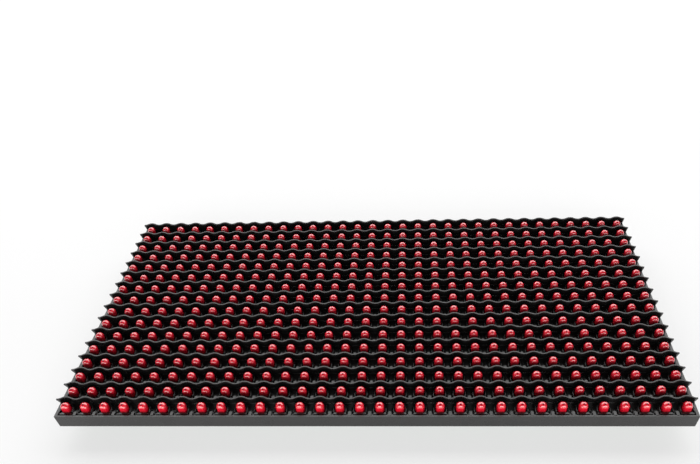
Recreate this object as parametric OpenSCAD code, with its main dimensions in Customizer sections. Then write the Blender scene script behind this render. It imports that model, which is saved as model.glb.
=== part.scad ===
// Outdoor message-board display module: a louvred black mask over a field of red lamps,
// with the driver board screwed into its back.
// Lamps face +Z, +X is the viewer's right, +Y is up on the wall. The tips of the four
// locating pins stand on z = 0 and the origin is under the middle of the display.

/* [Lamp field] */
// Distance between neighbouring lamps, both ways
pitch = 10; // [9:0.5:14]
// Lamps in one row
columns = 32; // [32:8:48]
// Rows of lamps
rows = 16; // [16:1:16]
// Width of a lamp's oval lens at its foot, along the row
lens_d = 5.2; // [4:0.1:5.4]
// Width of the oval lens across the row
lens_across = 3.8; // [3:0.1:4]
// Width of the lens where its dome starts
dome_d = 4.6; // [3.8:0.1:5]
// Height of a lamp above the board
lens_h = 8; // [7:0.1:9]

/* [Mask] */
// Depth of the mask's side walls, from its back edge to its front edge
mask_depth = 8; // [7.6:0.1:12]
// Thickness of the side walls round the board
side_wall = 1.7; // [1.2:0.1:2]
// Thickness of the front rim at the left and right
rim_side = 1.5; // [1:0.1:1.6]
// Thickness of the front rim at the top and bottom
rim_end = 0.9; // [0.6:0.1:1]
// Thickness of the perforated floor
floor_t = 1.4; // [1.2:0.1:2]
// How far the floor lies below the front rim
floor_drop = 1.2; // [0.8:0.1:1.6]
// Clearance round a lens in its hole
lens_gap = 0.15; // [0.1:0.05:0.2]

/* [Shades] */
// Thickness of a wavy shade
shade_t = 0.8; // [0.8:0.1:1.3]
// How far a shade stands out in front of the rim
shade_reach = 4.5; // [3:0.1:7]
// Downward lean of a shade, in degrees
shade_lean = 19.5; // [10:0.5:22]
// Depth of the wave, from dip to crest
wave_depth = 1.25; // [0.75:0.125:1.5]
// How far a shade's middle line is past the cell's upper edge, at the rim's level
shade_shift = 0.03; // [0:0.01:0.3]
// Thickness of the straight wall that closes the foot of the top shade
top_wall_t = 0.5; // [0.4:0.1:0.6]
// How far that wall rises in front of the rim
top_wall_rise = 1.6; // [1:0.1:2]
// Width of the straight plinth that a shade stands on
plinth_w = 2.6; // [2.4:0.1:3]
// Height of that plinth over the floor
plinth_h = 0.4; // [0.2:0.1:0.6]

/* [Board] */
// Thickness of the circuit board
board_t = 1.6; // [1.2:0.1:2]
// How far the board's back lies inside the mask's back edge
board_recess = 2.6; // [2:0.1:3]
// Clearance between the board and the side walls
board_gap = 0.3; // [0.2:0.1:0.5]
// Corner radius of the board
board_corner = 2; // [1:0.5:4]
// Spacing of a lamp's two leads
lead_spacing = 2.54; // [2:0.01:3]
// Diameter of a solder joint
joint_d = 1.7; // [1.2:0.1:1.8]
// Height of a solder joint
joint_h = 0.8; // [0.5:0.1:0.9]

/* [Fastenings] */
// Diameter of a locating pin
pin_d = 3.8; // [3:0.1:4]
// Length of the cone at a locating pin's tip
pin_tip = 1; // [0.5:0.1:1.5]
// Diameter of a locating pin's shank, inside the board and its boss
pin_shank_d = 3; // [2:0.1:3.2]
// Length of a locating pin behind the board
pin_reach = 12; // [9.8:0.1:16]
// Outer diameter of a threaded insert
insert_d = 4; // [3.8:0.1:4.2]
// Thread core diameter of a threaded insert
insert_bore = 2.5; // [2:0.1:2.8]
// Diameter of a board screw's head
screw_head_d = 4.2; // [3.6:0.1:4.6]
// Height of a board screw's head
screw_head_h = 1.6; // [1.2:0.1:2.2]
// Diameter of a board screw's shank
screw_d = 2.2; // [1.8:0.1:2.4]
// Wall of the plastic bosses round pins, inserts and screws
boss_wall = 0.4; // [0.3:0.05:0.5]
// Skin of plastic left over the end of a pin, insert or screw
boss_skin = 0.7; // [0.5:0.1:1]
// Clearance of the board's holes round pins, inserts and screws
hole_gap = 0.15; // [0.1:0.05:0.3]

/* [Connectors] */
// Pitch of the header pins, both ways
contact_pitch = 2.54; // [2:0.01:2.54]
// Contacts in one row of a header
contacts = 8; // [5:1:8]
// Width of a header's shroud
shroud_w = 9; // [8:0.1:9.4]
// Plastic past the last contact at each end of a shroud
shroud_end = 5.6; // [4:0.1:6]
// Height of a shroud above the board
shroud_h = 9; // [7:0.1:9.5]
// Wall of a shroud
shroud_wall = 1.1; // [0.8:0.1:1.4]
// Thickness of a shroud's floor
shroud_floor = 2.2; // [1.5:0.1:3]
// Width of a shroud's key slot
key_w = 4.5; // [3:0.1:5]
// Side of a square contact pin
contact_w = 0.64; // [0.5:0.02:0.8]
// Gap under the shrouds and the power terminal, over the solder joints
stand_off = 1.1; // [1:0.1:1.6]
// Width of the power terminal, across its two wires
terminal_w = 18.8; // [17:0.1:20]
// Depth of the power terminal, along its wires
terminal_l = 13.4; // [12:0.1:15]
// Height of the power terminal's barriers above the board
terminal_h = 9.5; // [8:0.1:9.6]
// Height of the power terminal's seats above the board
terminal_seat = 5; // [4:0.1:6]
// Thickness of a barrier
barrier_t = 1.6; // [1:0.1:2]
// Diameter of a clamp screw's head
clamp_d = 5.8; // [5:0.1:6.4]
// Height of a clamp screw's head
clamp_h = 2.2; // [1.5:0.1:2.6]
// Thickness of a clamp plate
clamp_plate_t = 0.8; // [0.5:0.1:1]

/* [Components] */
// Diameter of an electrolytic capacitor
can_d = 8; // [6.3:0.1:8]
// Length of an electrolytic capacitor
can_l = 13; // [10:0.5:14]
// Diameter of a capacitor's wire
wire_d = 0.6; // [0.5:0.05:0.8]
// Width of a chip's body, between its rows of leads
chip_w = 3.9; // [3.6:0.1:4.2]
// Height of a chip's top above the board
chip_h = 1.6; // [1.3:0.1:2]
// Spacing of a chip's leads
lead_pitch = 1.27; // [1.1:0.01:1.27]
// Width across a chip's leads
lead_span = 6; // [5.6:0.1:6.2]
// Width of one lead
lead_w = 0.42; // [0.3:0.02:0.5]
// Length of a chip capacitor
ceramic_l = 3.2; // [2:0.1:3.4]
// Width of a chip capacitor
ceramic_w = 1.7; // [1.2:0.1:2]
// Height of a chip capacitor
ceramic_h = 1.2; // [0.8:0.1:1.4]

/* [Hidden] */
// a hair, so that cuts run past the faces they open
over = 0.5;
$fn = 48;

field_w = columns * pitch;
field_h = rows * pitch;
lens_r = lens_d / 2;
hole_r = lens_r + lens_gap;

// levels, from the pin tips up
board_back = pin_reach;
board_front = board_back + board_t;
mask_back = board_back - board_recess;
rim_front = mask_back + mask_depth;
floor_front = rim_front - floor_drop;
floor_back = floor_front - floor_t;
boss_top = floor_front - boss_skin;

// centre of lamp (column, row); row 0 is the lowest
function lamp_x(c) = (c + 0.5) * pitch - field_w / 2;
function lamp_y(r) = (r + 0.5) * pitch - field_h / 2;

// places on the back, from the middle, seen from the front; they lie between the lamps' leads
half_c = columns / 2;
half_r = rows / 2;
pin_places = [for (x = [-1, 1], y = [-1, 1]) [x * (half_c - 1.5), y * (half_r - 4)] * pitch];
insert_places = [for (x = [half_c - 2, half_c - 6, 4], s = [-1, 1], y = [half_r - 1.8, 1.3 - half_r])
    [s * x, y] * pitch];
screw_places = concat(
    [for (x = [6 - half_c, 0, half_c - 6], y = [-1, 1]) [x, y * (half_r - 0.5)] * pitch],
    [for (x = [-1, 1], y = [-1, 1]) [x * (half_c - 0.5), y * (half_r - 4)] * pitch],
    [for (y = [-2, 2]) [0, y] * pitch]);
header_x = (half_c - 4) * pitch;
driver_places = [for (x = [12.7, 9.7, 5.7, 2.7, -3.3, -6.3, -9.3, -12.3], y = [-1, 1])
    [x * columns / 32, y * (half_r - 4)] * pitch];
driver_leads = 16;
// the three logic chips: place, turn and number of leads
buffer_place = [10, 0] * pitch;
decoder_place = [5.7, 0] * pitch;
inverter_place = [3.7, 0] * pitch;
switch_places = [for (y = [-3, -1, 1, 3]) [-1, y] * pitch];
terminal_place = [-2.55, -0.35] * pitch;
// foot of each lying capacitor, where its wires enter the board, and the way its can points
can_1_foot = [1.25, 0] * pitch;
can_2_foot = [-2, 0.95] * pitch;
can_gap = 4.5;
ceramic_gap = 7.4;

function two(n) = str(n < 10 ? "0" : "", n);

// ---- mask

// one half wave of a shade: an arc that bulges up (side = 1) or down (side = -1);
// part = -1 or 1 keeps only its left or right half
wave_r = (pow(pitch / 4, 2) + pow(wave_depth / 2, 2)) / wave_depth;
wave_centre = wave_r - wave_depth / 2;
module half_wave(side, part = 0) {
    scale([1, side])
        translate([0, -wave_centre])
            intersection() {
                difference() {
                    circle(wave_r + shade_t / 2);
                    circle(wave_r - shade_t / 2);
                }
                polygon([[0, 0],
                    [part > 0 ? 0 : -pitch / 2, 2 * wave_centre],
                    [part < 0 ? 0 : pitch / 2, 2 * wave_centre]]);
            }
}

// a wavy shade that crosses the whole display above one row of lamps, on a straight plinth
shade_foot = floor_drop - plinth_h / 2;
module shade() {
    translate([0, pitch / 2 + shade_shift + shade_foot * tan(shade_lean), rim_front - shade_foot])
        rotate([shade_lean, 0, 0])
            linear_extrude((shade_reach + shade_foot) / cos(shade_lean)) {
                for (c = [0:columns - 1]) translate([lamp_x(c), 0]) half_wave(1);
                for (c = [1:columns - 1]) translate([lamp_x(c) - pitch / 2, 0]) half_wave(-1);
                translate([-field_w / 2, 0]) half_wave(-1, 1);
                translate([field_w / 2, 0]) half_wave(-1, -1);
            }
    foot_y = pitch / 2 + shade_shift + floor_drop * tan(shade_lean);
    translate([-field_w / 2, foot_y - plinth_w / 2, floor_front - floor_t / 2])
        cube([field_w, plinth_w, floor_t / 2 + plinth_h]);
}

module plate(w, h) { square([w, h], center = true); }

module walls(w, h, x, y, t) {
    linear_extrude(t) difference() {
        plate(w, h);
        plate(w - 2 * x, h - 2 * y);
    }
}

module boss(p, d) {
    translate([p.x, p.y, board_front]) cylinder(d = d + 2 * boss_wall, h = boss_top - board_front);
}

module pocket(p, d) {
    translate([p.x, p.y, board_front - over]) cylinder(d = d, h = boss_top - board_front + over);
}

module mask() {
    color([0.13, 0.13, 0.13])
        difference() {
            union() {
                translate([0, 0, mask_back])
                    walls(field_w, field_h, side_wall, side_wall, floor_front - mask_back);
                translate([0, 0, floor_back])
                    walls(field_w, field_h, rim_side, rim_end, rim_front - floor_back);
                translate([0, 0, floor_back])
                    linear_extrude(floor_t) difference() {
                        plate(field_w, field_h);
                        for (c = [0:columns - 1], r = [0:rows - 1])
                            translate([lamp_x(c), lamp_y(r)]) circle(hole_r);
                    }
                for (r = [0:rows - 2]) translate([0, lamp_y(r)]) shade();
                // the top shade is cut off flush with the outside
                intersection() {
                    translate([0, lamp_y(rows - 1)]) shade();
                    translate([-field_w / 2, -field_h / 2, mask_back])
                        cube([field_w, field_h, 2 * mask_depth + shade_reach]);
                }
                translate([-field_w / 2, field_h / 2 - top_wall_t, floor_back])
                    cube([field_w, top_wall_t, rim_front - floor_back + top_wall_rise]);
                // bosses that the board seats on
                for (p = pin_places) boss(p, pin_shank_d);
                for (p = insert_places) boss(p, insert_d);
                for (p = screw_places) boss(p, screw_d);
            }
            for (p = pin_places) pocket(p, pin_shank_d);
            for (p = insert_places) pocket(p, insert_d);
            for (p = screw_places) pocket(p, screw_d);
        }
}

// ---- board and lamps

module rounded_plate(w, h, r) {
    hull()
        for (x = [-1, 1], y = [-1, 1])
            translate([x * (w / 2 - r), y * (h / 2 - r)]) circle(r, $fn = 32);
}

module holes(places, d) {
    for (p = places) translate(p) circle(d = d + 2 * hole_gap);
}

module circuit_board() {
    inset = 2 * (side_wall + board_gap);
    color([0.05, 0.45, 0.12])
        translate([0, 0, board_back]) linear_extrude(board_t) difference() {
            rounded_plate(field_w - inset, field_h - inset, board_corner);
            holes(pin_places, pin_shank_d);
            holes(insert_places, insert_d);
            holes(screw_places, screw_d);
        }
}

// one lamp, standing on the board: a lens that tapers to its dome, in one piece of resin
module round_lamp() {
    dome_r = dome_d / 2;
    rotate_extrude() {
        polygon([[0, 0], [lens_r, 0], [dome_r, lens_h - dome_r], [0, lens_h - dome_r]]);
        translate([0, lens_h - dome_r]) intersection() {
            circle(dome_r);
            square(dome_r);
        }
    }
}

// the arched bar that a row of lamps is cut to, which makes every lens oval
module arched_bar() {
    arch = lens_h - lens_across / 2;
    rotate([90, 0, 90]) linear_extrude(field_w, center = true) {
        translate([-lens_across / 2, 0]) square([lens_across, arch]);
        translate([0, arch]) circle(lens_across / 2);
    }
}

module lamp_row(r) {
    color([0.72, 0.05, 0.1])
        translate([0, lamp_y(r), board_front]) intersection() {
            for (c = [0:columns - 1]) translate([lamp_x(c), 0, 0]) round_lamp();
            arched_bar();
        }
}

module solder_joints() {
    color([0.8, 0.8, 0.78])
        for (c = [0:columns - 1], r = [0:rows - 1], s = [-1, 1])
            behind([lamp_x(c) + s * lead_spacing / 2, lamp_y(r)])
                cylinder(d1 = joint_d, d2 = joint_d / 2, h = joint_h);
}

// puts a piece on the back of the board, standing away from it
module behind(p) {
    translate([p.x, p.y, board_back]) mirror([0, 0, 1]) children();
}

// ---- fastenings

// each pin bears on the board's back with its shoulder, and its shank ends in a boss
module locating_pins() {
    color([0.85, 0.85, 0.82])
        for (p = pin_places) {
            behind(p) {
                cylinder(d = pin_d, h = pin_reach - pin_tip);
                translate([0, 0, pin_reach - pin_tip])
                    cylinder(d1 = pin_d, d2 = pin_d - 2 * pin_tip, h = pin_tip);
            }
            translate([p.x, p.y, board_back]) cylinder(d = pin_shank_d, h = boss_top - board_back);
        }
}

module threaded_inserts() {
    length = boss_top - board_back;
    color([0.75, 0.62, 0.3])
        for (p = insert_places)
            translate([p.x, p.y, board_back]) difference() {
                cylinder(d = insert_d, h = length);
                translate([0, 0, -over]) cylinder(d = insert_bore, h = length - 2 * over);
            }
}

module board_screws() {
    recess_d = screw_head_d * 0.55;
    recess_w = 0.7;
    color([0.1, 0.1, 0.1])
        for (p = screw_places) {
            translate([p.x, p.y, board_back]) cylinder(d = screw_d, h = boss_top - board_back);
            behind(p) difference() {
                union() {
                    cylinder(d = screw_head_d, h = screw_head_h * 0.6);
                    translate([0, 0, screw_head_h * 0.6])
                        cylinder(d1 = screw_head_d, d2 = screw_head_d * 0.7, h = screw_head_h * 0.4);
                }
                for (a = [0, 90])
                    rotate(a) translate([-recess_d / 2, -recess_w / 2, screw_head_h * 0.4])
                        cube([recess_d, recess_w, screw_head_h]);
            }
        }
}

// ---- connectors

shroud_l = (contacts - 1) * contact_pitch + 2 * shroud_end;
function contact_places() =
    [for (i = [0:contacts - 1], s = [-1, 1]) [s, 2 * i - contacts + 1] * contact_pitch / 2];

// a foot under each corner of a w by l body
module feet(w, l) {
    foot = 1.6;
    for (x = [-1, 1], y = [-1, 1])
        translate([x * (w - foot) / 2 - foot / 2, y * (l - foot) / 2 - foot / 2, 0])
            cube([foot, foot, stand_off + over]);
}

module header_shroud(x) {
    color([0.08, 0.08, 0.08])
        behind([x, 0]) difference() {
            union() {
                feet(shroud_w, shroud_l);
                translate([-shroud_w / 2, -shroud_l / 2, stand_off])
                    cube([shroud_w, shroud_l, shroud_h - stand_off]);
            }
            translate([shroud_wall - shroud_w / 2, shroud_wall - shroud_l / 2, stand_off + shroud_floor])
                cube([shroud_w - 2 * shroud_wall, shroud_l - 2 * shroud_wall, shroud_h]);
            translate([0, -key_w / 2, stand_off + shroud_floor]) cube([shroud_w, key_w, shroud_h]);
            for (p = contact_places())
                translate([p.x - contact_w / 2, p.y - contact_w / 2, 0])
                    cube([contact_w, contact_w, shroud_h]);
        }
}

module header_contacts(x) {
    color([0.85, 0.7, 0.35])
        behind([x, 0])
            for (p = contact_places())
                translate([p.x - contact_w / 2, p.y - contact_w / 2, 0])
                    cube([contact_w, contact_w, shroud_h - 1.5]);
}

clamp_spacing = (terminal_w - barrier_t) / 2;
clamp_plate_w = clamp_spacing - barrier_t - 0.4;
clamp_shank = 3;

module power_terminal_body() {
    color([0.08, 0.08, 0.08])
        behind(terminal_place) difference() {
            union() {
                feet(terminal_w, terminal_l);
                translate([-terminal_w / 2, -terminal_l / 2, stand_off])
                    cube([terminal_w, terminal_l, terminal_seat - stand_off]);
                for (i = [-1:1])
                    translate([i * clamp_spacing - barrier_t / 2, -terminal_l / 2, stand_off])
                        cube([barrier_t, terminal_l, terminal_h - stand_off]);
            }
            for (s = [-1, 1])
                translate([s * clamp_spacing / 2, 0, stand_off + 1]) cylinder(d = clamp_shank, h = terminal_h);
        }
}

module power_terminal_plates() {
    color([0.8, 0.6, 0.4])
        behind(terminal_place)
            for (s = [-1, 1])
                translate([s * clamp_spacing / 2, 0, terminal_seat]) difference() {
                    translate([-clamp_plate_w / 2, -terminal_l / 2 + 1.5, 0])
                        cube([clamp_plate_w, terminal_l - 3, clamp_plate_t]);
                    translate([0, 0, -over]) cylinder(d = clamp_shank, h = clamp_plate_t + 2 * over);
                }
}

module power_terminal_screws() {
    slot = 0.9;
    color([0.82, 0.62, 0.45])
        behind(terminal_place)
            for (s = [-1, 1])
                translate([s * clamp_spacing / 2, 0, 0]) difference() {
                    union() {
                        translate([0, 0, stand_off + 1])
                            cylinder(d = clamp_shank, h = terminal_seat + clamp_plate_t - stand_off);
                        translate([0, 0, terminal_seat + clamp_plate_t]) cylinder(d = clamp_d, h = clamp_h);
                    }
                    for (a = [0, 90])
                        rotate(a) translate([-clamp_d, -slot / 2, terminal_seat + clamp_plate_t + clamp_h / 2])
                            cube([2 * clamp_d, slot, clamp_h]);
                }
}

// ---- capacitors

// can 1 lies along +X from its foot, can 2 along +Y
module cans() {
    for (place = [[can_1_foot, 0], [can_2_foot, 90]])
        translate([place[0].x, place[0].y, board_back - can_d / 2]) rotate(place[1]) children();
}

bung_l = 1.2;
bung_d = can_d - 2.4;
can_wire_gap = can_d * 0.44;

// aluminium can in its sleeve, with the rolled groove near its open end
module capacitor_cans() {
    r = can_d / 2;
    groove = 0.5;
    color([0.1, 0.1, 0.12])
        cans() translate([can_gap, 0, 0]) rotate([0, 90, 0]) difference() {
            rotate_extrude()
                polygon([[0, 0], [r - 0.6, 0], [r, 0.6], [r, 1.6], [r - groove, 1.9], [r - groove, 2.3],
                    [r, 2.6], [r, can_l - 0.6], [r - 0.6, can_l], [0, can_l]]);
            translate([0, 0, -over]) cylinder(d = bung_d, h = bung_l + over);
        }
}

module capacitor_bungs() {
    color([0.2, 0.2, 0.2])
        cans() translate([can_gap, 0, 0]) rotate([0, 90, 0]) difference() {
            cylinder(d = bung_d, h = bung_l);
            for (s = [-1, 1])
                translate([0, s * can_wire_gap / 2, -over]) cylinder(d = wire_d, h = bung_l + 2 * over);
        }
}

// each wire leaves the bung, bends and runs down to the board
module capacitor_wires() {
    color([0.8, 0.8, 0.8])
        cans() for (s = [-1, 1]) translate([0, s * can_wire_gap / 2, 0]) {
            translate([wire_d, 0, 0]) rotate([0, 90, 0])
                cylinder(d = wire_d, h = can_gap + bung_l - wire_d);
            translate([wire_d, 0, wire_d]) rotate([90, 180, 0])
                rotate_extrude(angle = 90) translate([wire_d, 0]) circle(d = wire_d);
            translate([0, 0, wire_d]) cylinder(d = wire_d, h = can_d / 2 - wire_d);
        }
}

module ceramic_places() {
    for (p = driver_places) translate([p.x + ceramic_gap, p.y, 0]) rotate(90) children();
    for (p = [decoder_place, inverter_place]) translate([p.x + ceramic_gap, p.y, 0]) rotate(90) children();
    translate([buffer_place.x, buffer_place.y + pitch, 0]) children();
}

end_l = 0.5;
module ceramic_capacitors() {
    color([0.65, 0.5, 0.35])
        translate([0, 0, board_back - ceramic_h])
            ceramic_places()
                translate([end_l - ceramic_l / 2, -ceramic_w / 2, 0])
                    cube([ceramic_l - 2 * end_l, ceramic_w, ceramic_h]);
}

module ceramic_capacitor_ends() {
    color([0.85, 0.85, 0.85])
        translate([0, 0, board_back - ceramic_h])
            ceramic_places()
                for (s = [0, 1])
                    translate([s * (ceramic_l - end_l) - ceramic_l / 2, -ceramic_w / 2, 0])
                        cube([end_l, ceramic_w, ceramic_h]);
}

// ---- chips

function chip_l(leads) = leads / 2 * lead_pitch - 0.2;
chip_lift = 0.1;
lead_t = 0.2;

module chip_body(leads) {
    translate([-chip_l(leads) / 2, -chip_w / 2, chip_lift]) cube([chip_l(leads), chip_w, chip_h - chip_lift]);
}

// gull-wing leads along both long sides of a chip
module chip_leads(leads) {
    shoulder = (chip_h + chip_lift) / 2;
    w = chip_w / 2;
    for (i = [0:leads / 2 - 1], a = [0, 180])
        rotate(a) translate([(i - (leads / 2 - 1) / 2) * lead_pitch - lead_w / 2, 0, 0])
            rotate([90, 0, 90]) linear_extrude(lead_w)
                polygon([[w, shoulder + lead_t], [w, shoulder], [w + 0.2, shoulder], [w + 0.2, 0],
                    [lead_span / 2, 0], [lead_span / 2, lead_t], [w + 0.2 + lead_t, lead_t],
                    [w + 0.2 + lead_t, shoulder + lead_t]]);
}

module driver_chips() {
    color([0.12, 0.11, 0.12]) for (p = driver_places) behind(p) chip_body(driver_leads);
}

module driver_chip_leads() {
    color([0.8, 0.8, 0.82]) for (p = driver_places) behind(p) chip_leads(driver_leads);
}

module logic_chips() {
    color([0.12, 0.11, 0.12]) {
        behind(buffer_place) rotate(90) chip_body(8);
        behind(decoder_place) chip_body(14);
        behind(inverter_place) chip_body(16);
    }
}

module logic_chip_leads() {
    color([0.8, 0.8, 0.82]) {
        behind(buffer_place) rotate(90) chip_leads(8);
        behind(decoder_place) chip_leads(14);
        behind(inverter_place) chip_leads(16);
    }
}

module row_switches() {
    color([0.12, 0.11, 0.12]) for (p = switch_places) behind(p) chip_body(8);
}

module row_switch_leads() {
    color([0.8, 0.8, 0.82]) for (p = switch_places) behind(p) chip_leads(8);
}

mask();
circuit_board();
for (r = [1:rows])
    lamp_row(r - 1);
solder_joints();
locating_pins();
threaded_inserts();
board_screws();
header_shroud(header_x);  // input_header_shroud
header_contacts(header_x);  // input_header_contacts
header_shroud(-header_x);  // output_header_shroud
header_contacts(-header_x);  // output_header_contacts
power_terminal_body();
power_terminal_plates();
power_terminal_screws();
capacitor_cans();
capacitor_bungs();
capacitor_wires();
driver_chips();
driver_chip_leads();
logic_chips();
logic_chip_leads();
row_switches();
row_switch_leads();
ceramic_capacitors();
ceramic_capacitor_ends();
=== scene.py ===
"""Finishes, fine detail, lights and camera for a louvred red lamp display module."""

import math
import random

import bmesh
import bpy
from mathutils import Euler, Matrix, Vector


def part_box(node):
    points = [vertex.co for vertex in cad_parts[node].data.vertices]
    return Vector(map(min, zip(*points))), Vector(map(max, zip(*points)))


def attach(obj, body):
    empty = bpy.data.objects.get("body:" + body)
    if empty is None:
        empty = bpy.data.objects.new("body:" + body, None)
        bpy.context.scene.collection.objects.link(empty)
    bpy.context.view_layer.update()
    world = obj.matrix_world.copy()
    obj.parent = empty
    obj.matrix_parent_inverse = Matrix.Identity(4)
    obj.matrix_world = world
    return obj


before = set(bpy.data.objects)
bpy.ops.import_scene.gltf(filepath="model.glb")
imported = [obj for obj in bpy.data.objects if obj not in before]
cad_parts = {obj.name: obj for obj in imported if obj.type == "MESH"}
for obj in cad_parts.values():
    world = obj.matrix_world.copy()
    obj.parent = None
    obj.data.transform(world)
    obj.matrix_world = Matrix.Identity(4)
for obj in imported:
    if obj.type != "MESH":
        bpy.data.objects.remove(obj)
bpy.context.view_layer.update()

bl_info = {
    "name": "Lamp Display Module",
    "version": (1, 0, 0),
    "blender": (4, 5, 0),
    "location": "View3D > Sidebar > Display",
    "description": "Finishes, fine detail and stage for a louvred lamp display module",
    "category": "Object",
}

MM = 0.001
COLUMNS = 32
ROWS = 16
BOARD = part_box("circuit_board")
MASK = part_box("mask")
PITCH = (MASK[1].x - MASK[0].x) / COLUMNS
HALF_ARC_STEPS = 3
BOARD_BACK = BOARD[0].z

# places on the back of the board, in millimetres
LEGEND_FRAMES = ((-138.6, -86.8), (-74.4, -6.5), (6.1, 73.8), (86.3, 138.5))
LEGEND_FRAME_ENDS = (-58.2, 57.9)
UP_ARROW_COLUMNS = (39.9, -40.5)
UP_ARROW_ENDS = (16.6, 32.8)
SIDE_ARROW_TAILS = (110.7, -98.9)
SIDE_ARROW_LEVEL = -19
SIDE_ARROW_LENGTH = 16.8
UP_ARROW_HEAD, SIDE_ARROW_HEAD = 6.5, 6.3
CAN_RINGS = ((12.3, -0.9), (-21.4, 9.3))
CAN_RING_RADIUS = 4.2
JUMPERS = (-50.5, -61.1)
JUMPER_LOW, JUMPER_HIGH = (-2.1, -3.4), (2.1, 2.2)
JUMPER_CORNER = 1
DRIVER_COLUMNS = (127, 97, 57, 27, -33, -63, -93, -123)
DRIVER_LEVEL = 40
PLUS_MARKS = ((-4.4, 7.0), (-4.4, -6.2))
PIN_COLUMN, PIN_LEVEL = 145, 40
PIN_RING_RADIUS, PIN_RING_WIDTH = 3.6, 1.4
LABEL_LOW, LABEL_HIGH = (107.7, 47.2), (120.1, 53.8)
# where each can starts and how far its axis is turned from +X, in degrees
CANS = ((12.5, 0, 0), (-20, 9.5, 90))

CAMERA_AT = (0.022906, -0.263904, 0.262130)
CAMERA_TURN_DEGREES = (43.9919, 2.0963, 1.5398)
CAMERA_SHIFT = (-0.0537, 0.1550)
BACK_SOFTBOX_SIZE, BACK_SOFTBOX_AT = (2.8, 1.08), (0.0, 0.76, 0.65)
FRONT_SOFTBOX_SIZE, FRONT_SOFTBOX_AT = (2.0, 0.5), (0.0, -0.95, 0.33)


def lamp_x(column):
    return MASK[0].x + (column + 0.5) * PITCH


def lamp_y(row):
    return MASK[0].y + (row + 0.5) * PITCH


# ---- settings


def length(name, note, default):
    return bpy.props.FloatProperty(
        name=name, description=note, default=default, unit="LENGTH", precision=4
    )


def colour(name, note, default):
    return bpy.props.FloatVectorProperty(
        name=name,
        description=note,
        default=default,
        subtype="COLOR",
        size=3,
        min=0.0,
        max=1.0,
    )


def number(name, note, default, low=0.0, high=1.0):
    return bpy.props.FloatProperty(
        name=name, description=note, default=default, min=low, max=high
    )


class MaskSettings(bpy.types.PropertyGroup):
    plastic: colour("Plastic", "Colour of the moulded mask", (0.006, 0.0057, 0.0055))
    worn: colour("Worn plastic", "Colour of rubbed or dusty patches", (0.014, 0.0135, 0.013))
    edge_radius: length("Edge radius", "Rounding of the mask's moulded edges", 0.15 * MM)
    depth: length("Wall depth", "Depth of the side walls up to the rim", 8 * MM)
    floor_drop: length("Floor drop", "How far the floor lies below the rim", 1.2 * MM)
    collar_inner: length("Collar radius", "Inner radius of a lamp's collar", 3.0 * MM)
    collar_crest: length("Collar crest", "Outer radius of a collar's crest", 3.25 * MM)
    collar_foot: length("Collar foot", "Outer radius of a collar at the floor", 4.05 * MM)
    collar_step: length("Collar step", "Height of a collar's upright foot", 0.5 * MM)
    collar_top: length("Collar top", "Height of a collar above the rim", 0.2 * MM)
    finger_width: length("Finger width", "Width of the fingers between lamps", 1.6 * MM)
    finger_length: length("Finger length", "Length of a finger from its cell's edge", 3.5 * MM)
    finger_start: length("Finger start", "How far a finger starts inside its cell's edge", 0.5 * MM)
    ledge_edge: length("Ledge edge", "Distance of a ledge from its lamp's centre", 1.95 * MM)
    ledge_width: length("Ledge width", "Width of the ledge below a lamp", 6.4 * MM)
    ledge_depth: length("Ledge depth", "Depth of the ledge, front to back", 1.15 * MM)
    ledge_height: length("Ledge height", "Height of the ledge above the floor", 0.7 * MM)
    shade_reach: length("Shade reach", "Height of the shades' tips above the rim", 4.5 * MM)
    shade_shift: length("Shade shift", "How far a shade stands past its cell's edge", 0.03 * MM)
    shade_lean: bpy.props.FloatProperty(
        name="Shade lean",
        description="Forward lean of the shades",
        default=math.radians(19.5),
        unit="ROTATION",
    )
    shade_wall: length("Shade wall", "Thickness of a shade", 0.8 * MM)
    wave_depth: length("Wave depth", "Depth of the shades' wave", 1.25 * MM)
    tip_land: length("Tip land", "Width of the level land on a shade's tip", 0.65 * MM)
    tip_inset: length("Tip inset", "Gap between the land and the shade's far face", 0.03 * MM)


class LampSettings(bpy.types.PropertyGroup):
    # the lens colours are painted light and shade: resin is the painted lit middle, and the shaded
    # resin is painted shade at the foot and flanks plus a painted dark reflection in a spot near
    # the tip
    resin: colour("Resin", "Colour of the lit middle of a lens", (0.8, 0.01, 0.03))
    shaded_resin: colour("Deep resin", "Colour of a lens's foot, flanks and cup", (0.2, 0.001, 0.007))
    foot_level: length("Foot level", "Height up to which a lens is deep red", 16.2 * MM)
    lit_level: length("Lit level", "Height from which a lens is fully lit", 19 * MM)
    # painted reflection: how far the dark spot near the tip sits in front of the lens's middle, in
    # pitches
    dark_spot_offset: number("Cup offset", "Cup's distance in front of the middle, in pitches", 0.05)
    flank_edge: number("Flank edge", "Distance aside that is deep red, in pitches", 0.29)
    flank_start: number("Flank start", "Distance aside where the red deepens, in pitches", 0.18)
    # painted reflection: radius of the dark spot near the tip, where the dark overhead shows in the
    # lens
    spot: length("Cup radius", "Radius of the darker cup seen through the tip", 0.6 * MM)
    gloss: number("Roughness", "Roughness of the resin", 0.11)


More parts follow.
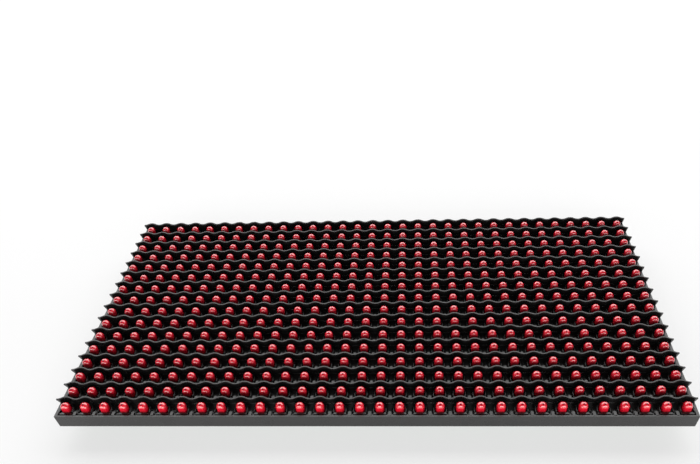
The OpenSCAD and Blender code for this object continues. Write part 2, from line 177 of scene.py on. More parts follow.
class BoardSettings(bpy.types.PropertyGroup):
    resist: colour("Solder resist", "Colour of the board between tracks", (0.002, 0.14, 0.016))
    track: colour("Covered track", "Colour over copper tracks", (0.01, 0.25, 0.045))
    legend: colour("Legend", "Colour of the printed lines", (0.82, 0.84, 0.8))
    line: length("Line width", "Width of the printed lines", 0.55 * MM)
    ink: length("Ink thickness", "Thickness of the printed lines", 0.05 * MM)
    corner: length("Frame corner", "Corner radius of the printed frames", 5 * MM)
    arrow_line: length("Arrow line", "Line width of the printed arrows", 0.75 * MM)
    thin_line: length("Thin line", "Line width of the small printed marks", 0.3 * MM)
    plus_line: length("Plus line", "Line width of the plus marks", 0.35 * MM)
    plus_arm: length("Plus arm", "Length of an arm of a plus mark", 0.8 * MM)
    track_pitch: length("Track pitch", "Distance between covered tracks", 0.9 * MM)
    via_radius: length("Via radius", "Radius of a small plated hole", 0.32 * MM)
    vias: bpy.props.IntProperty(
        name="Vias", description="Number of small plated holes", default=340, min=0
    )
    margin: length("Margin", "Clear edge of the board round the small holes", 2 * MM)
    lead_offset: length("Lead offset", "Distance of a lead from its lamp's centre", 1.27 * MM)
    square_pad: length("Square pad", "Half the width of a square pad", 0.95 * MM)
    round_pad: length("Round pad", "Radius of a round pad", 1.15 * MM)
    tip_radius: length("Tip radius", "Radius of a cut lead at its joint", 0.26 * MM)
    tip_end: length("Tip end", "Radius of a cut lead at its end", 0.2 * MM)
    tip_start: length("Tip start", "Height above the board where a cut lead shows", 0.7 * MM)
    tip_length: length("Tip length", "Length of a cut lead", 0.75 * MM)
    label_thickness: length("Label thickness", "Thickness of the blank label", 0.12 * MM)
    label_corner: length("Label corner", "Corner radius of the blank label", 1.2 * MM)


class FittingSettings(bpy.types.PropertyGroup):
    housing: colour("Housings", "Colour of the connector bodies", (0.012, 0.012, 0.013))
    chip: colour("Chips", "Colour of the chip bodies", (0.02, 0.018, 0.02))
    sleeve: colour("Sleeves", "Colour of the capacitor sleeves", (0.012, 0.012, 0.016))
    stripe: colour("Stripes", "Colour of the sleeves' polarity stripe", (0.42, 0.43, 0.45))
    can_axis: length("Can axis", "Height of a can's axis above the board", 4 * MM)
    stripe_radius: length("Stripe radius", "Outer radius of the stripe", 4.03 * MM)
    stripe_start: length("Stripe start", "Start of the stripe past the can's place", 7.7 * MM)
    stripe_length: length("Stripe length", "Length of the stripe", 8.8 * MM)
    stripe_thickness: length("Stripe thickness", "Thickness of the stripe", 0.06 * MM)
    stripe_angle: bpy.props.FloatProperty(
        name="Stripe angle",
        description="Part of the can's turn that the stripe covers",
        default=math.radians(42),
        unit="ROTATION",
    )


class StageSettings(bpy.types.PropertyGroup):
    floor: colour("Floor", "Colour of the floor", (0.9, 0.9, 0.9))
    floor_radius: length("Floor radius", "Radius of the floor", 4.0)
    glow_near: number("Near glow", "Share of plain white in the floor at the module", 0.6)
    fade_start: length("Fade start", "Distance at which the floor starts to turn white", 0.3)
    fade_end: length("Fade end", "Distance at which the floor is plain white", 1.2)
    lens: number("Lens", "Focal length of the camera in millimetres", 31.716, 10.0, 200.0)
    ambient: number("Ambient", "Strength of the light from overhead", 0.04)
    walls_top: number("Walls' top", "Upward part of a direction where the walls end", 0.76)
    overhead: number("Overhead", "Upward part of a direction where overhead starts", 0.9)
    walls: number("Walls", "Strength of the light from the studio's walls", 0.18)
    back: number("Back softbox", "Power of the softbox behind the display", 24.0, 0.0, 100.0)
    front: number("Front softbox", "Power of the softbox in front", 12.0, 0.0, 100.0)


# ---- shader building


def add_node(tree, kind, inputs=(), **settings):
    """Adds a node, sets its options and fills or links its inputs."""
    made = tree.nodes.new(kind)
    for key, value in settings.items():
        setattr(made, key, value)
    for key, value in dict(inputs).items():
        if isinstance(value, bpy.types.NodeSocket):
            tree.links.new(value, made.inputs[key])
        else:
            made.inputs[key].default_value = value
    return made


def math_node(tree, operation, *values):
    """A Math node; values are numbers or sockets."""
    return add_node(
        tree, "ShaderNodeMath", enumerate(values), operation=operation
    ).outputs[0]


def blend_colours(tree, factor, first, second):
    return add_node(
        tree,
        "ShaderNodeMix",
        {0: factor, 6: first, 7: second},
        data_type="RGBA",
    ).outputs[2]


def start_group(name, inputs, outputs):
    """A shader node group with named sockets; returns (tree, inputs node, outputs node)."""
    tree = bpy.data.node_groups.new(name, "ShaderNodeTree")
    for label, kind, default in inputs:
        socket = tree.interface.new_socket(label, in_out="INPUT", socket_type=kind)
        socket.default_value = default
    for label, kind in outputs:
        tree.interface.new_socket(label, in_out="OUTPUT", socket_type=kind)
    return (
        tree,
        tree.nodes.new("NodeGroupInput").outputs,
        tree.nodes.new("NodeGroupOutput").inputs,
    )


def grain_group():
    """Fine moulded grain: a height that changes over the surface."""
    if "Moulded Grain" in bpy.data.node_groups:
        return bpy.data.node_groups["Moulded Grain"]
    tree, given, made = start_group(
        "Moulded Grain",
        [("Scale", "NodeSocketFloat", 4000.0), ("Depth", "NodeSocketFloat", 0.00002)],
        [("Height", "NodeSocketFloat")],
    )
    place = add_node(tree, "ShaderNodeTexCoord").outputs["Object"]
    fine = add_node(
        tree,
        "ShaderNodeTexNoise",
        {"Vector": place, "Scale": given["Scale"], "Detail": 2.0},
    ).outputs[0]
    broad = add_node(
        tree,
        "ShaderNodeTexNoise",
        {"Vector": place, "Scale": math_node(tree, "MULTIPLY", given["Scale"], 0.06)},
    ).outputs[0]
    both = math_node(tree, "ADD", fine, math_node(tree, "MULTIPLY", broad, 1.5))
    tree.links.new(math_node(tree, "MULTIPLY", both, given["Depth"]), made["Height"])
    return tree


def wear_group():
    """Uneven colour and gloss from dust, handling and flow marks."""
    if "Surface Wear" in bpy.data.node_groups:
        return bpy.data.node_groups["Surface Wear"]
    tree, given, made = start_group(
        "Surface Wear",
        [
            ("Colour", "NodeSocketColor", (0.5, 0.5, 0.5, 1)),
            ("Worn Colour", "NodeSocketColor", (0.6, 0.6, 0.6, 1)),
            ("Scale", "NodeSocketFloat", 60.0),
            ("Amount", "NodeSocketFloat", 0.5),
            ("Roughness", "NodeSocketFloat", 0.5),
            ("Roughness Change", "NodeSocketFloat", 0.1),
        ],
        [("Colour", "NodeSocketColor"), ("Roughness", "NodeSocketFloat")],
    )
    place = add_node(tree, "ShaderNodeTexCoord").outputs["Object"]
    cloud = add_node(
        tree,
        "ShaderNodeTexNoise",
        {"Vector": place, "Scale": given["Scale"], "Detail": 6.0, "Roughness": 0.62},
    ).outputs[0]
    patch = add_node(
        tree,
        "ShaderNodeMapRange",
        {"Value": cloud, "From Min": 0.38, "From Max": 0.7},
    ).outputs[0]
    amount = math_node(tree, "MULTIPLY", patch, given["Amount"])
    tree.links.new(
        blend_colours(tree, amount, given["Colour"], given["Worn Colour"]), made["Colour"]
    )
    change = math_node(
        tree,
        "MULTIPLY",
        math_node(tree, "SUBTRACT", patch, 0.5),
        given["Roughness Change"],
    )
    tree.links.new(
        math_node(tree, "ADD", given["Roughness"], change), made["Roughness"]
    )
    return tree


def track_group():
    """Bundles of thin copper tracks under the solder resist, as a mask."""
    if "Copper Tracks" in bpy.data.node_groups:
        return bpy.data.node_groups["Copper Tracks"]
    tree, given, made = start_group(
        "Copper Tracks",
        [("Track Pitch", "NodeSocketFloat", 0.0009), ("Fill", "NodeSocketFloat", 0.5)],
        [("Mask", "NodeSocketFloat")],
    )
    place = add_node(tree, "ShaderNodeTexCoord").outputs["Object"]
    axes = add_node(tree, "ShaderNodeSeparateXYZ", {0: place}).outputs
    masks = []
    for across, along, seed, share in (
        (axes[0], axes[1], 0.0, 0.0),
        (axes[1], axes[0], 7.3, 0.09),
    ):
        lane = math_node(tree, "DIVIDE", across, given["Track Pitch"])
        middle = math_node(tree, "SUBTRACT", math_node(tree, "FRACT", lane), 0.5)
        step = math_node(tree, "ABSOLUTE", middle)
        line = math_node(tree, "LESS_THAN", step, 0.24)
        lane_id = math_node(tree, "FLOOR", lane)
        spot = add_node(
            tree,
            "ShaderNodeCombineXYZ",
            {
                0: math_node(tree, "MULTIPLY", lane_id, 0.23),
                1: math_node(tree, "MULTIPLY", along, 26.0),
                2: seed,
            },
        ).outputs[0]
        run = add_node(
            tree, "ShaderNodeTexNoise", {"Vector": spot, "Scale": 1.0, "Detail": 1.0}
        ).outputs[0]
        on = math_node(tree, "GREATER_THAN", run, math_node(tree, "ADD", given["Fill"], share))
        masks.append(math_node(tree, "MULTIPLY", line, on))
    tree.links.new(math_node(tree, "MAXIMUM", *masks), made["Mask"])
    return tree


def place_group(tree, group, inputs):
    """Places a shared group with this material's own values."""
    return add_node(tree, "ShaderNodeGroup", inputs, node_tree=group).outputs


def rgba(colour_value):
    return (*tuple(colour_value)[:3], 1.0)


def finish(
    name,
    base,
    worn,
    roughness,
    change=0.1,
    scale=60.0,
    amount=0.5,
    grain=4000.0,
    depth=0.00001,
    metallic=0.0,
    coat=0.0,
    coat_roughness=0.08,
    ior=1.5,
    specular=0.5,
    round_edges=0.0,
):
    """A complete material: base and worn colours, uneven gloss and fine grain."""
    material = bpy.data.materials.new(name)
    material.use_nodes = True
    tree = material.node_tree
    shader = tree.nodes["Principled BSDF"]
    wear = place_group(
        tree,
        wear_group(),
        {
            "Colour": rgba(base),
            "Worn Colour": rgba(worn),
            "Scale": scale,
            "Amount": amount,
            "Roughness": roughness,
            "Roughness Change": change,
        },
    )
    tree.links.new(wear["Colour"], shader.inputs["Base Color"])
    tree.links.new(wear["Roughness"], shader.inputs["Roughness"])
    height = place_group(tree, grain_group(), {"Scale": grain, "Depth": depth})["Height"]
    bump = add_node(tree, "ShaderNodeBump", {"Height": height, "Distance": 1.0})
    if round_edges:
        soft = add_node(tree, "ShaderNodeBevel", {"Radius": round_edges}, samples=4)
        tree.links.new(soft.outputs[0], bump.inputs["Normal"])
    tree.links.new(bump.outputs[0], shader.inputs["Normal"])
    shader.inputs["Metallic"].default_value = metallic
    shader.inputs["Coat Weight"].default_value = coat
    shader.inputs["Coat Roughness"].default_value = coat_roughness
    shader.inputs["IOR"].default_value = ior
    shader.inputs["Specular IOR Level"].default_value = specular
    material.diffuse_color = rgba(base)
    return material


def dress(node, material):
    """Gives a CAD node its finish."""
    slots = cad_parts[node].data.materials
    if not slots:
        slots.append(material)
    for i in range(len(slots)):
        slots[i] = material


# ---- mesh building


def add_block(bm, low, high):
    low, high = Vector(low), Vector(high)
    place = Matrix.LocRotScale((low + high) / 2, None, high - low)
    return bmesh.ops.create_cube(bm, size=1.0, matrix=place)["verts"]


def add_section(bm, corners):
    """A flat face with the given corners, to be swept into a bar."""
    return bm.faces.new([bm.verts.new(corner) for corner in corners])


def push(bm, face, step):
    """Extrudes a face into a closed bar."""
    made = bmesh.ops.extrude_face_region(bm, geom=[face], use_keep_orig=True)["geom"]
    verts = [v for v in made if isinstance(v, bmesh.types.BMVert)]
    bmesh.ops.translate(bm, verts=verts, vec=step)


def add_rod(bm, centre, radius, height, segments=12, tip=None):
    """A closed rod or cone along Z that starts at centre; height may be negative."""
    place = Matrix.Translation(Vector(centre) + Vector((0, 0, height / 2)))
    return bmesh.ops.create_cone(
        bm,
        cap_ends=True,
        segments=segments,
        radius1=radius,
        radius2=radius if tip is None else tip,
        depth=height,
        matrix=place,
    )["verts"]


def add_line(bm, start, end, width, z, thickness):
    """A printed line from start to end."""
    start, end = Vector(start), Vector(end)
    along = end - start
    place = Matrix.LocRotScale(
        Vector((*(start + end) / 2, z - thickness / 2)),
        Euler((0, 0, math.atan2(along.y, along.x))),
        Vector((along.length + width, width, thickness)),
    )
    bmesh.ops.create_cube(bm, size=1.0, matrix=place)


def add_outline(bm, face, width, thickness):
    """Turns a flat face into a raised printed outline."""
    bmesh.ops.inset_region(
        bm, faces=[face], thickness=width, use_even_offset=True, use_boundary=True
    )
    band = {f for e in face.edges for f in e.link_faces if f is not face}
    bmesh.ops.delete(bm, geom=[face], context="FACES_ONLY")
    bmesh.ops.solidify(bm, geom=list(band), thickness=thickness)


def add_rounded_frame(bm, low, high, corner, width, z, thickness):
    low, high = Vector(low), Vector(high)
    centre, size = (low + high) / 2, high - low
    place = Matrix.LocRotScale((centre.x, centre.y, z), None, (size.x, size.y, 1))
    verts = bmesh.ops.create_grid(bm, x_segments=1, y_segments=1, size=0.5, matrix=place)["verts"]
    made = bmesh.ops.bevel(
        bm, geom=verts, offset=corner, segments=5, profile=0.5, affect="VERTICES", material=-1
    )
    face = made["verts"][0].link_faces[0]
    add_outline(bm, face, width, thickness)


def add_ring(bm, centre, radius, width, z, thickness, segments=24):
    verts = bmesh.ops.create_circle(
        bm,
        cap_ends=True,
        radius=radius,
        segments=segments,
        matrix=Matrix.Translation((*centre, z)),
    )["verts"]
    add_outline(bm, verts[0].link_faces[0], width, thickness)


def repeat(bm, step, count):
    """Repeats everything in the mesh along a step."""
    geom = bm.verts[:] + bm.edges[:] + bm.faces[:]
    for i in range(1, count):
        made = bmesh.ops.duplicate(bm, geom=geom)["geom"]
        verts = [v for v in made if isinstance(v, bmesh.types.BMVert)]
        bmesh.ops.translate(bm, verts=verts, vec=Vector(step) * i)


def repeat_over_lamps(bm, columns=COLUMNS, rows=ROWS):
    repeat(bm, (PITCH, 0, 0), columns)
    repeat(bm, (0, PITCH, 0), rows)


def make_piece(bm, name, material):
    """Finishes a mesh as a piece that rides on the module."""
    bmesh.ops.recalc_face_normals(bm, faces=bm.faces)
    mesh = bpy.data.meshes.new(name)
    bm.to_mesh(mesh)
    bm.free()
    mesh.materials.append(material)
    piece = bpy.data.objects.new(name, mesh)
    bpy.context.scene.collection.objects.link(piece)
    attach(piece, "root")
    return piece


# ---- operators


class DISPLAY_OT_mask(bpy.types.Operator):
    """Finishes the mask and adds the collars, fingers and ledges round the lamps"""

    bl_idname = "display.mask"
    bl_label = "Mask"

    def execute(self, context):
        s = context.scene.display_mask
        plastic = finish(
            "moulded_plastic",
            s.plastic,
            s.worn,
            0.32,
            change=0.2,
            scale=90.0,
            amount=0.7,
            grain=3500.0,
            depth=0.000012,
            specular=0.65,
            round_edges=s.edge_radius,
        )
        dress("mask", plastic)
        rim = MASK[0].z + s.depth
        floor = rim - s.floor_drop
        x, y = lamp_x(0), lamp_y(0)

        bm = bmesh.new()
        top = rim + s.collar_top
        ledge_edge = y - s.ledge_edge
        # a collar's section has an upright bore, a low foot and a sloping outside
        section = [
            (s.collar_inner, floor),
            (s.collar_foot, floor),
            (s.collar_foot, floor + s.collar_step),
            (s.collar_crest, top),
            (s.collar_inner, top),
        ]
        for side in (-1, 1):
            leg = add_section(bm, [(x + side * r, y, z) for r, z in section])
            push(bm, leg, (0, ledge_edge - y, 0))
        bend = add_section(bm, [(x + r, y, z) for r, z in section])
        bmesh.ops.spin(bm, geom=[bend], cent=(x, y, 0), axis=(0, 0, 1), angle=math.pi, steps=10)
        repeat_over_lamps(bm)
        make_piece(bm, "mask_collars", plastic)

        bm = bmesh.new()
        half = s.finger_width / 2
        reach = s.finger_length - half
        left = MASK[0].x + PITCH
        base = MASK[0].y + s.finger_start
        finger = add_rod(bm, (left, MASK[0].y + reach, floor), half, s.floor_drop, 12)
        for vert in finger:
            if vert.co.y < MASK[0].y + reach - half / 10:
                vert.co.y = base
        repeat_over_lamps(bm, COLUMNS - 1)
        make_piece(bm, "mask_fingers", plastic)

        bm = bmesh.new()
        add_block(
            bm,
            (x - s.ledge_width / 2, ledge_edge - s.ledge_depth, floor),
            (x + s.ledge_width / 2, ledge_edge, floor + s.ledge_height),
        )
        repeat_over_lamps(bm)
        make_piece(bm, "mask_ledges", plastic)

        # the tips of the leaning shades end in a narrow level land
        bm = bmesh.new()
        radius = ((PITCH / 4) ** 2 + (s.wave_depth / 2) ** 2) / s.wave_depth
        middle = radius - s.wave_depth / 2
        bend = math.asin(PITCH / 4 / radius)
        rise = s.tip_land * math.sin(s.shade_lean)
        lift = Vector((0, rise * math.sin(s.shade_lean), rise * math.cos(s.shade_lean)))
        for centre, side, start, end in (
            (0, -1, 0, bend),
            (PITCH / 2, 1, -bend, bend),
            (PITCH, -1, -bend, 0),
        ):
            far = Vector((centre, side * (radius - middle) + s.shade_wall / 2 - s.tip_inset, 0))
            near = far - Vector((0, s.tip_land, 0))
            land = add_section(bm, [far, near, near + lift])
            cent = (centre, -side * middle, 0)
            first = Matrix.Rotation(-side * start, 3, "Z")
            bmesh.ops.rotate(bm, verts=land.verts, cent=cent, matrix=first)
            bmesh.ops.spin(
                bm,
                geom=[land],
                cent=cent,
                axis=(0, 0, 1),
                angle=-side * (end - start),
                steps=round(HALF_ARC_STEPS * (end - start) / bend),
            )
        overhang = s.shade_reach * math.tan(s.shade_lean)
        tip = Vector(
            (MASK[0].x, MASK[0].y + PITCH + s.shade_shift - overhang, rim + s.shade_reach)
        )
        place = Matrix.Translation(tip) @ Matrix.Rotation(s.shade_lean, 4, "X")
        bmesh.ops.transform(bm, verts=bm.verts, matrix=place)
        repeat_over_lamps(bm, rows=ROWS - 1)
        make_piece(bm, "shade_tips", plastic)
        return {"FINISHED"}


class DISPLAY_OT_lamps(bpy.types.Operator):
    """Finishes the red lamps, with painted shade low in the lens, at its flanks and in a dark spot
    near the tip
    """

    bl_idname = "display.lamps"
    bl_label = "Lamps"

    def execute(self, context):
        s = context.scene.display_lamps
        resin = finish(
            "lamp_resin",
            s.resin,
            s.resin,
            s.gloss,
            change=0.05,
            scale=300.0,
            amount=0.0,
            grain=900.0,
            depth=0.000004,
            coat=1.0,
            ior=1.55,
            specular=1.0,
        )
        tree = resin.node_tree
        shader = tree.nodes["Principled BSDF"]
        place = add_node(tree, "ShaderNodeTexCoord").outputs["Object"]
        axes = add_node(tree, "ShaderNodeSeparateXYZ", {0: place}).outputs
        aside, ahead = (
            math_node(
                tree,
                "SUBTRACT",
                math_node(tree, "FRACT", math_node(tree, "DIVIDE", axis, PITCH)),
                0.5,
            )
            for axis in axes[:2]
        )
        flank = math_node(tree, "ABSOLUTE", aside)
        off = math_node(tree, "ADD", ahead, s.dark_spot_offset)
        squares = [math_node(tree, "MULTIPLY", value, value) for value in (aside, off)]
        reach = math_node(tree, "SQRT", math_node(tree, "ADD", *squares))
        spot = s.spot / PITCH
        lit = None
        # painted shade: the lens is darker up to the foot level and out at its flanks, and a
        # painted dark reflection of the overhead sits in a small spot near the tip
        for value, low, high in (
            (axes[2], s.foot_level, s.lit_level),
            (reach, 0.5 * spot, 1.1 * spot),
            (flank, s.flank_edge, s.flank_start),
        ):
            part = add_node(
                tree,
                "ShaderNodeMapRange",
                {"Value": value, "From Min": low, "From Max": high},
                interpolation_type="SMOOTHSTEP",
            ).outputs[0]
            lit = part if lit is None else math_node(tree, "MULTIPLY", lit, part)
        shade = blend_colours(tree, lit, rgba(s.shaded_resin), rgba(s.resin))
        tree.links.new(shade, shader.inputs["Base Color"])
        for row in range(1, ROWS + 1):
            dress(f"lamp_row_{row:02d}", resin)
        return {"FINISHED"}


class DISPLAY_OT_board(bpy.types.Operator):
    """Finishes the circuit board, its printed lines, plated holes and solder"""

    bl_idname = "display.board"
    bl_label = "Circuit board"

    def execute(self, context):
        s = context.scene.display_board
        resist = finish(
            "solder_resist",
            s.resist,
            s.track,
            0.3,
            change=0.1,
            scale=9.0,
            amount=0.35,
            grain=1500.0,
            depth=0.000004,
            coat=0.5,
            coat_roughness=0.12,
        )
        tree = resist.node_tree
        given = {"Track Pitch": s.track_pitch, "Fill": 0.52}
        mask = place_group(tree, track_group(), given)["Mask"]
        groups = [node for node in tree.nodes if node.type == "GROUP"]
        wear = next(node for node in groups if node.node_tree.name == "Surface Wear")
        tree.links.new(
            blend_colours(tree, mask, rgba(s.resist), rgba(s.track)), wear.inputs["Colour"]
        )
        dress("circuit_board", resist)

        ink = finish("legend_ink", s.legend, (0.6, 0.66, 0.6), 0.55, amount=0.4, scale=400.0)
        tin = finish(
            "tin_solder",
            (0.72, 0.71, 0.68),
            (0.5, 0.49, 0.46),
            0.28,
            change=0.2,
            scale=500.0,
            metallic=1.0,
            grain=2500.0,
            depth=0.00002,
        )
        dress("solder_joints", tin)
        z, t, w = BOARD_BACK, s.ink, s.line

        bm = bmesh.new()
        bottom, top = LEGEND_FRAME_ENDS
        for left, right in LEGEND_FRAMES:
            low, high = (left * MM, bottom * MM), (right * MM, top * MM)
            add_rounded_frame(bm, low, high, s.corner, w, z, t)
        for x in UP_ARROW_COLUMNS:
            tail, tip = ((x * MM, y * MM) for y in UP_ARROW_ENDS)
            add_arrow(bm, tail, tip, UP_ARROW_HEAD * MM, s.arrow_line, z, t)
        for x in SIDE_ARROW_TAILS:
            tail, tip = (
                (end * MM, SIDE_ARROW_LEVEL * MM) for end in (x, x - SIDE_ARROW_LENGTH)
            )
            add_arrow(bm, tail, tip, SIDE_ARROW_HEAD * MM, s.arrow_line, z, t)
        for x, y in CAN_RINGS:
            add_ring(bm, (x * MM, y * MM), CAN_RING_RADIUS * MM, s.thin_line, z, t)
        for x in JUMPERS:
            low, high = (((x + dx) * MM, y * MM) for dx, y in (JUMPER_LOW, JUMPER_HIGH))
            add_rounded_frame(bm, low, high, JUMPER_CORNER * MM, s.thin_line, z, t)
        for x in DRIVER_COLUMNS:
            for side in (-1, 1):
                for dx, dy in PLUS_MARKS:
                    at = Vector(((x + dx) * MM, (side * DRIVER_LEVEL + dy) * MM))
                    for arm in (Vector((s.plus_arm, 0)), Vector((0, s.plus_arm))):
                        add_line(bm, at - arm, at + arm, s.plus_line, z, t)
        make_piece(bm, "board_legend", ink)

        bm = bmesh.new()
        for sx in (-1, 1):
            for sy in (-1, 1):
                at = (sx * PIN_COLUMN * MM, sy * PIN_LEVEL * MM)
                add_ring(bm, at, PIN_RING_RADIUS * MM, PIN_RING_WIDTH * MM, z, t)
        dice = random.Random(16)
        for _ in range(s.vias):
            column, row = dice.randrange(COLUMNS), dice.randrange(ROWS)
            at = (
                lamp_x(column) + dice.uniform(2.6, 7.4) * MM,
                lamp_y(row) + dice.uniform(1.4, 8.6) * MM,
            )
            if abs(at[0]) < BOARD[1].x - s.margin and abs(at[1]) < BOARD[1].y - s.margin:
                add_rod(bm, (*at, z), s.via_radius, -t, 6)
        make_piece(bm, "board_vias", tin)

        bm = bmesh.new()
        x, y = lamp_x(0), lamp_y(0)
        half, lead = s.square_pad, s.lead_offset
        add_block(bm, (x + lead - half, y - half, z - t), (x + lead + half, y + half, z))
        add_rod(bm, (x - lead, y, z), s.round_pad, -t, 8)
        repeat_over_lamps(bm)
        make_piece(bm, "board_pads", tin)

        bm = bmesh.new()
        for side in (-1, 1):
            foot = (x + side * lead, y, z - s.tip_start)
            add_rod(bm, foot, s.tip_radius, -s.tip_length, 6, s.tip_end)
        repeat_over_lamps(bm)
        make_piece(bm, "lead_tips", tin)

        bm = bmesh.new()
        low, high = ([value * MM for value in corner] for corner in (LABEL_LOW, LABEL_HIGH))
        label = add_block(bm, (*low, z - s.label_thickness), (*high, z))
        uprights = {
            e for v in label for e in v.link_edges if abs(e.verts[0].co.z - e.verts[1].co.z) > t
        }
        bmesh.ops.bevel(
            bm,
            geom=list(uprights),
            offset=s.label_corner,
            segments=4,
            profile=0.5,
            affect="EDGES",
            material=-1,
        )
        paper = finish("paper_label", (0.78, 0.78, 0.74), (0.6, 0.6, 0.55), 0.7, scale=250.0)
        make_piece(bm, "blank_label", paper)
        return {"FINISHED"}


def add_arrow(bm, tail, tip, head, width, z, thickness):
    """A printed arrow with an open head."""
    tail, tip = Vector(tail), Vector(tip)
    back = (tail - tip).normalized()
    side = Vector((-back.y, back.x))
    add_line(bm, tail, tip, width, z, thickness)
    for s in (-1, 1):
        add_line(bm, tip + (back + side * s) * head, tip, width, z, thickness)


class DISPLAY_OT_fittings(bpy.types.Operator):
    """Finishes the connectors, chips, capacitors and fastenings"""

    bl_idname = "display.fittings"
    bl_label = "Fittings"

    def execute(self, context):
        s = context.scene.display_fittings
        housing = finish(
            "connector_housing", s.housing, (0.03, 0.03, 0.03), 0.38, scale=200.0, depth=0.000008
        )
        gold = finish(
            "gold_contact", (0.83, 0.62, 0.25), (0.7, 0.5, 0.2), 0.22, metallic=1.0, scale=600.0
        )
        clamp = finish(
            "copper_plating",
            (0.8, 0.52, 0.36),
            (0.55, 0.36, 0.26),
            0.25,
            change=0.2,
            metallic=1.0,
            scale=400.0,
            depth=0.000015,
        )
        tinned = finish(
            "tinned_metal",
            (0.7, 0.7, 0.7),
            (0.5, 0.5, 0.49),
            0.3,
            change=0.15,
            metallic=1.0,
            scale=500.0,
        )
        chip = finish(
            "chip_compound",
            s.chip,
            (0.04, 0.038, 0.04),
            0.5,
            scale=500.0,
            grain=6000.0,
            depth=0.00001,
        )
        sleeve = finish(
            "shrunk_sleeve",
            s.sleeve,
            (0.03, 0.03, 0.034),
            0.2,
            scale=150.0,
            grain=300.0,
            depth=0.00001,
        )
        rubber = finish("bung_rubber", (0.02, 0.02, 0.02), (0.04, 0.04, 0.04), 0.8)
        ceramic = finish("fired_ceramic", (0.36, 0.24, 0.15), (0.42, 0.3, 0.2), 0.45, scale=700.0)
        nickel = finish(
            "nickel_plate",
            (0.76, 0.75, 0.7),
            (0.6, 0.59, 0.55),
            0.18,
            change=0.15,
            metallic=1.0,
            scale=300.0,
        )
        brass = finish(
            "turned_brass",
            (0.72, 0.55, 0.25),
            (0.55, 0.42, 0.2),
            0.3,
            metallic=1.0,
            scale=400.0,
        )
        oxide = finish(
            "black_oxide",
            (0.02, 0.02, 0.022),
            (0.05, 0.05, 0.05),
            0.35,
            coat=0.2,
            scale=300.0,
        )
        for node, material in {
            "input_header_shroud": housing,
            "output_header_shroud": housing,
            "power_terminal_body": housing,
            "input_header_contacts": gold,
            "output_header_contacts": gold,
            "power_terminal_plates": clamp,
            "power_terminal_screws": clamp,
            "capacitor_cans": sleeve,
            "capacitor_bungs": rubber,
            "capacitor_wires": tinned,
            "driver_chips": chip,
            "logic_chips": chip,
            "row_switches": chip,
            "driver_chip_leads": tinned,
            "logic_chip_leads": tinned,
            "row_switch_leads": tinned,
            "ceramic_capacitors": ceramic,
            "ceramic_capacitor_ends": tinned,
            "locating_pins": nickel,
            "threaded_inserts": brass,
            "board_screws": oxide,
        }.items():
            dress(node, material)

        # polarity stripe along the side of each can
        stripe = finish("sleeve_stripe", s.stripe, (0.3, 0.3, 0.32), 0.35, scale=300.0)
        bm = bmesh.new()
        for x, y, turn in CANS:
            start, side, film = s.stripe_start, -s.stripe_radius, s.stripe_thickness
            part = bmesh.new()
            strip = add_block(
                part, (start, side, -film), (start + s.stripe_length, side + film, 0)
            )
            faces = {f for v in strip for f in v.link_faces}
            face = min(faces, key=lambda f: f.calc_center_median().z)
            bmesh.ops.spin(
                part, geom=[face], cent=(0, 0, 0), axis=(1, 0, 0), angle=s.stripe_angle, steps=6
            )
            bmesh.ops.delete(part, geom=[face], context="FACES_ONLY")
            place = Matrix.Translation((x * MM, y * MM, BOARD_BACK - s.can_axis))
            turned = Matrix.Rotation(math.radians(turn), 4, "Z")
            bmesh.ops.transform(part, matrix=place @ turned, verts=part.verts)
            mesh = bpy.data.meshes.new("stripe")
            part.to_mesh(mesh)
            part.free()
            bm.from_mesh(mesh)
            bpy.data.meshes.remove(mesh)
        make_piece(bm, "can_stripes", stripe)
        return {"FINISHED"}


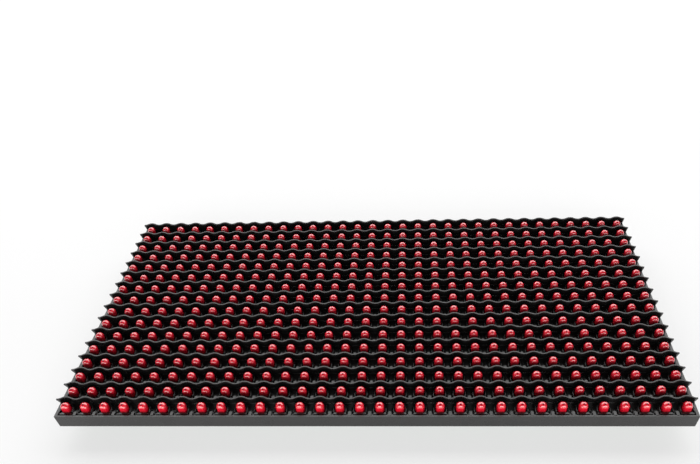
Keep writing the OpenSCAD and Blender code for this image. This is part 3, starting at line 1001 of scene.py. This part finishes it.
class DISPLAY_OT_stage(bpy.types.Operator):
    """Sets up the floor, the lights, the world and the camera"""

    bl_idname = "display.stage"
    bl_label = "Stage"

    def execute(self, context):
        s = context.scene.display_stage
        scene = context.scene
        scene.view_settings.view_transform = "Standard"

        lens = bpy.data.cameras.new("camera")
        lens.lens = s.lens
        lens.sensor_width = 36.0
        lens.shift_x, lens.shift_y = CAMERA_SHIFT
        lens.clip_start = 0.01
        camera = bpy.data.objects.new("camera", lens)
        camera.location = CAMERA_AT
        camera.rotation_euler = [math.radians(angle) for angle in CAMERA_TURN_DEGREES]
        scene.collection.objects.link(camera)
        scene.camera = camera

        bm = bmesh.new()
        bmesh.ops.create_circle(bm, cap_ends=True, radius=s.floor_radius, segments=64)
        bmesh.ops.recalc_face_normals(bm, faces=bm.faces)
        mesh = bpy.data.meshes.new("floor")
        bm.to_mesh(mesh)
        bm.free()
        floor = bpy.data.objects.new("floor", mesh)
        scene.collection.objects.link(floor)
        paint = bpy.data.materials.new("floor_paint")
        paint.use_nodes = True
        tree = paint.node_tree
        shader = tree.nodes["Principled BSDF"]
        shader.inputs["Base Color"].default_value = rgba(s.floor)
        shader.inputs["Roughness"].default_value = 0.9
        shader.inputs["Specular IOR Level"].default_value = 0.0
        path = add_node(tree, "ShaderNodeLightPath").outputs
        seen = math_node(
            tree,
            "MAXIMUM",
            path["Is Camera Ray"],
            math_node(tree, "MAXIMUM", path["Is Glossy Ray"], path["Is Transmission Ray"]),
        )
        # the floor melts into the white background away from the module
        place = add_node(tree, "ShaderNodeTexCoord").outputs["Object"]
        away = add_node(tree, "ShaderNodeVectorMath", {0: place}, operation="LENGTH")
        fade = add_node(
            tree,
            "ShaderNodeMapRange",
            {
                "Value": away.outputs["Value"],
                "From Min": s.fade_start,
                "From Max": s.fade_end,
                "To Min": s.glow_near,
                "To Max": 1.0,
            },
            interpolation_type="SMOOTHSTEP",
        ).outputs[0]
        glow = add_node(tree, "ShaderNodeEmission", {"Color": (1, 1, 1, 1), "Strength": 1.0})
        mixed = add_node(
            tree,
            "ShaderNodeMixShader",
            {
                0: math_node(tree, "MULTIPLY", seen, fade),
                1: shader.outputs[0],
                2: glow.outputs[0],
            },
        )
        tree.links.new(mixed.outputs[0], tree.nodes["Material Output"].inputs["Surface"])
        mesh.materials.append(paint)

        world = bpy.data.worlds.new("studio")
        world.use_nodes = True
        scene.world = world
        tree = world.node_tree
        back = tree.nodes["Background"]
        back.inputs["Color"].default_value = (1, 1, 1, 1)
        direction = add_node(tree, "ShaderNodeTexCoord").outputs["Generated"]
        rise = add_node(tree, "ShaderNodeSeparateXYZ", {0: direction}).outputs[2]
        level = add_node(
            tree,
            "ShaderNodeMapRange",
            {
                "Value": rise,
                "From Min": s.walls_top,
                "From Max": s.overhead,
                "To Min": s.walls,
                "To Max": s.ambient,
            },
            interpolation_type="SMOOTHSTEP",
        ).outputs[0]
        path = add_node(tree, "ShaderNodeLightPath").outputs
        strength = add_node(
            tree,
            "ShaderNodeMapRange",
            {"Value": path["Is Camera Ray"], "To Min": level, "To Max": 1.0},
        ).outputs[0]
        tree.links.new(strength, back.inputs["Strength"])

        for name, power, size, at in (
            ("back_softbox", s.back, BACK_SOFTBOX_SIZE, BACK_SOFTBOX_AT),
            ("front_softbox", s.front, FRONT_SOFTBOX_SIZE, FRONT_SOFTBOX_AT),
        ):
            light = bpy.data.lights.new(name, "AREA")
            light.shape = "RECTANGLE"
            light.size, light.size_y = size
            light.energy = power
            lamp = bpy.data.objects.new(name, light)
            lamp.location = at
            lamp.rotation_euler = (-Vector(at)).to_track_quat("-Z", "Y").to_euler()
            scene.collection.objects.link(lamp)
        return {"FINISHED"}


class DISPLAY_PT_panel(bpy.types.Panel):
    """Lists the steps that finish the display module"""

    bl_idname = "DISPLAY_PT_panel"
    bl_label = "Lamp Display Module"
    bl_space_type = "VIEW_3D"
    bl_region_type = "UI"
    bl_category = "Display"

    def draw(self, context):
        for operator in OPERATORS:
            self.layout.operator(operator.bl_idname)
        for name, group in SETTINGS.items():
            box = self.layout.box()
            for key in group.__annotations__:
                box.prop(getattr(context.scene, name), key)


SETTINGS = {
    "display_mask": MaskSettings,
    "display_lamps": LampSettings,
    "display_board": BoardSettings,
    "display_fittings": FittingSettings,
    "display_stage": StageSettings,
}
OPERATORS = (
    DISPLAY_OT_stage,
    DISPLAY_OT_mask,
    DISPLAY_OT_lamps,
    DISPLAY_OT_board,
    DISPLAY_OT_fittings,
)


def register():
    for cls in (*SETTINGS.values(), *OPERATORS, DISPLAY_PT_panel):
        bpy.utils.register_class(cls)
    for name, group in SETTINGS.items():
        setattr(bpy.types.Scene, name, bpy.props.PointerProperty(type=group))


def unregister():
    for name in SETTINGS:
        delattr(bpy.types.Scene, name)
    for cls in (DISPLAY_PT_panel, *OPERATORS, *SETTINGS.values()):
        bpy.utils.unregister_class(cls)


def main():
    register()
    for operator in OPERATORS:
        group, name = operator.bl_idname.split(".")
        getattr(getattr(bpy.ops, group), name)()


if __name__ == "__main__":
    main()
